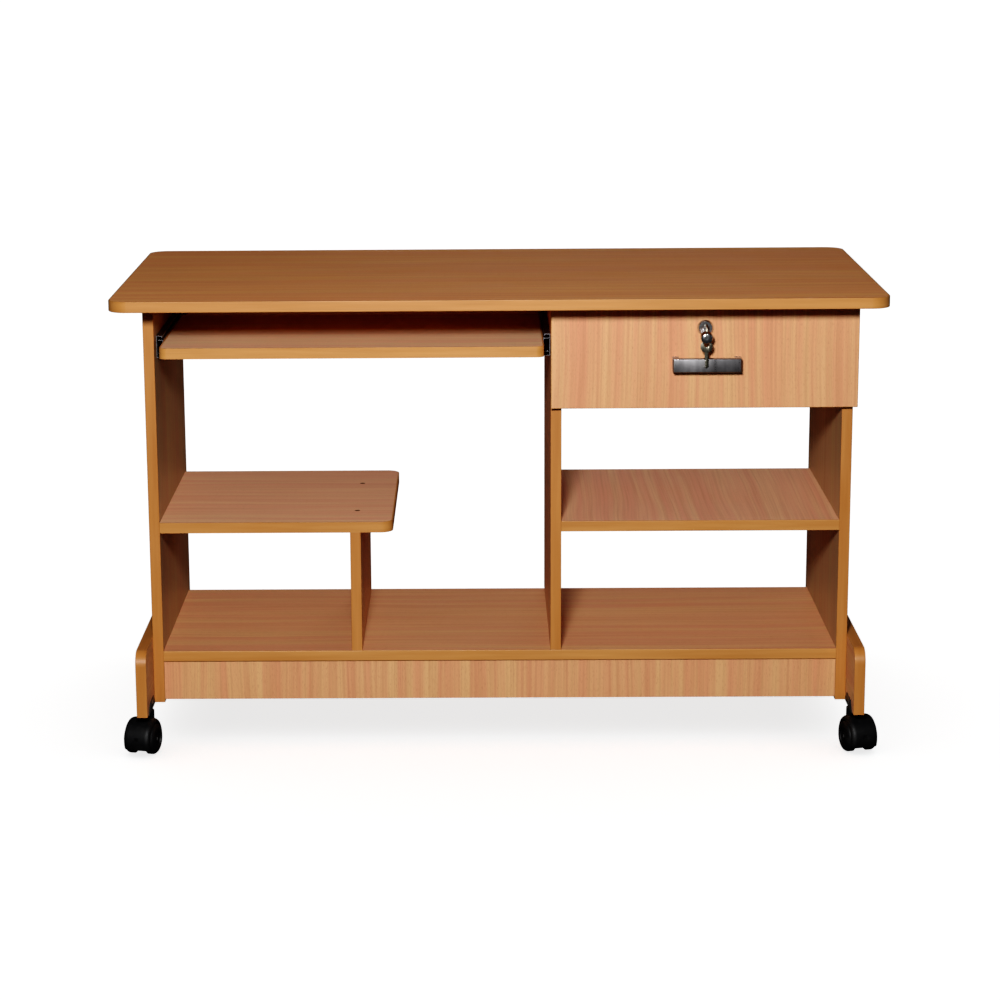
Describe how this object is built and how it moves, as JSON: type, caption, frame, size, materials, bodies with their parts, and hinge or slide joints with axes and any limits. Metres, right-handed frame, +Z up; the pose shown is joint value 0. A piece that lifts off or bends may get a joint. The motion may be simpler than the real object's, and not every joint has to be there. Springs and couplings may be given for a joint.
{
  "type": "computer desk",
  "caption": "Laminated computer desk with a sliding keyboard tray, a lockable drawer, open shelves and swivel casters.",
  "frame": {"origin": "on the floor under the middle of the desk", "axes": "+X along the desk to the right as seen from the front, -Y to the front, +Z up"},
  "size_m": [1.2, 0.6, 0.732],
  "materials": {
    "beech_laminate": "satin beech-pattern melamine laminate",
    "edge_band": "satin golden edge band",
    "drawer_laminate": "satin melamine laminate",
    "bronzed_screw": "bronzed",
    "zinc_steel": "zinc plated",
    "ball_steel": "oiled steel",
    "black_steel": "black paint",
    "handle_metal": "brushed dark nickel",
    "lock_chrome": "polished",
    "key_metal": "worn dark nickel",
    "caster_plastic": "moulded black nylon"
  },
  "bodies": {
    "desk": {"top_panel": "beech_laminate", "top_edge_band": "edge_band", "left_side_panel": "beech_laminate", "right_side_panel": "beech_laminate", "centre_divider": "beech_laminate", "short_divider": "beech_laminate", "bottom_shelf": "beech_laminate", "right_shelf": "beech_laminate", "left_shelf": "beech_laminate", "shelf_edge_bands": "edge_band", "upright_edge_bands": "edge_band", "front_plinth": "beech_laminate", "back_plinth": "beech_laminate", "left_rear_rail": "beech_laminate", "right_rear_rail": "beech_laminate", "left_foot_board": "beech_laminate", "right_foot_board": "beech_laminate", "foot_edge_bands": "edge_band", "panel_screws": "bronzed_screw", "wood_screws": "zinc_steel", "top_brackets": "zinc_steel", "tray_slide_outers": "zinc_steel", "drawer_slide_outers": "zinc_steel", "caster_clamps": "black_steel", "caster_stems": "zinc_steel"},
    "tray": {"tray_panel": "beech_laminate", "tray_edge_band": "edge_band", "tray_slide_inners": "zinc_steel", "tray_screws": "zinc_steel"},
    "tray_bearings": {"tray_ball_cages": "ball_steel"},
    "drawer": {"drawer_front": "beech_laminate", "drawer_front_band": "edge_band", "drawer_inner_front": "drawer_laminate", "drawer_back": "drawer_laminate", "drawer_bottom": "drawer_laminate", "drawer_sides": "drawer_laminate", "drawer_slide_inners": "zinc_steel", "drawer_screws": "zinc_steel", "handle": "handle_metal", "handle_screws": "zinc_steel", "lock_body": "lock_chrome", "lock_nut": "zinc_steel"},
    "drawer_bearings": {"drawer_ball_cages": "ball_steel"},
    "lock_cylinder": {"lock_plug": "lock_chrome", "lock_cam": "zinc_steel", "key": "key_metal"},
    "hanging_ring": {"key_ring": "lock_chrome"},
    "hanging_key": {"spare_key": "key_metal"},
    "front_left_caster": {"front_left_caster_hood": "caster_plastic", "front_left_caster_axle": "zinc_steel"},
    "front_left_wheels": {"front_left_caster_wheels": "caster_plastic"},
    "front_right_caster": {"front_right_caster_hood": "caster_plastic", "front_right_caster_axle": "zinc_steel"},
    "front_right_wheels": {"front_right_caster_wheels": "caster_plastic"},
    "rear_left_caster": {"rear_left_caster_hood": "caster_plastic", "rear_left_caster_axle": "zinc_steel"},
    "rear_left_wheels": {"rear_left_caster_wheels": "caster_plastic"},
    "rear_right_caster": {"rear_right_caster_hood": "caster_plastic", "rear_right_caster_axle": "zinc_steel"},
    "rear_right_wheels": {"rear_right_caster_wheels": "caster_plastic"}
  },
  "joints": [
    {"name": "tray_slide", "type": "slide", "parent": "desk", "child": "tray", "axis": [0, -1, 0], "range_m": [0, 0.25]},
    {"name": "tray_bearing_slide", "type": "slide", "parent": "desk", "child": "tray_bearings", "axis": [0, -1, 0], "range_m": [0, 0.125]},
    {"name": "drawer_slide", "type": "slide", "parent": "desk", "child": "drawer", "axis": [0, -1, 0], "range_m": [0, 0.25]},
    {"name": "drawer_bearing_slide", "type": "slide", "parent": "desk", "child": "drawer_bearings", "axis": [0, -1, 0], "range_m": [0, 0.125]},
    {"name": "lock_turn", "type": "hinge", "parent": "drawer", "child": "lock_cylinder", "pos_m": [0.322, -0.222, 0.675], "axis": [0, -1, 0], "range_deg": [0, 90]},
    {"name": "ring_swing", "type": "hinge", "parent": "lock_cylinder", "child": "hanging_ring", "pos_m": [0.322, -0.2506, 0.6729], "axis": [-1, 0, 0], "range_deg": [-2, 70]},
    {"name": "spare_key_swing", "type": "hinge", "parent": "hanging_ring", "child": "hanging_key", "pos_m": [0.322, -0.2506, 0.6555], "axis": [-1, 0, 0], "range_deg": [-2, 20]},
    {"name": "front_left_swivel", "type": "hinge", "parent": "desk", "child": "front_left_caster", "pos_m": [-0.5655, -0.246, 0.066], "axis": [0, 0, 1], "continuous": true},
    {"name": "front_left_roll", "type": "hinge", "parent": "front_left_caster", "child": "front_left_wheels", "pos_m": [-0.56986, -0.26347, 0.025], "axis": [0.9703, -0.2419, 0], "continuous": true},
    {"name": "front_right_swivel", "type": "hinge", "parent": "desk", "child": "front_right_caster", "pos_m": [0.5655, -0.246, 0.066], "axis": [0, 0, 1], "continuous": true},
    {"name": "front_right_roll", "type": "hinge", "parent": "front_right_caster", "child": "front_right_wheels", "pos_m": [0.56986, -0.26347, 0.025], "axis": [0.9703, 0.2419, 0], "continuous": true},
    {"name": "rear_left_swivel", "type": "hinge", "parent": "desk", "child": "rear_left_caster", "pos_m": [-0.5655, 0.246, 0.066], "axis": [0, 0, 1], "continuous": true},
    {"name": "rear_left_roll", "type": "hinge", "parent": "rear_left_caster", "child": "rear_left_wheels", "pos_m": [-0.56986, 0.22853, 0.025], "axis": [0.9703, -0.2419, 0], "continuous": true},
    {"name": "rear_right_swivel", "type": "hinge", "parent": "desk", "child": "rear_right_caster", "pos_m": [0.5655, 0.246, 0.066], "axis": [0, 0, 1], "continuous": true},
    {"name": "rear_right_roll", "type": "hinge", "parent": "rear_right_caster", "child": "rear_right_wheels", "pos_m": [0.56986, 0.22853, 0.025], "axis": [0.9703, 0.2419, 0], "continuous": true}
  ],
  "couplings": [
    {"joint": "tray_bearing_slide", "follows": "tray_slide", "ratio": 0.5},
    {"joint": "drawer_bearing_slide", "follows": "drawer_slide", "ratio": 0.5}
  ]
}
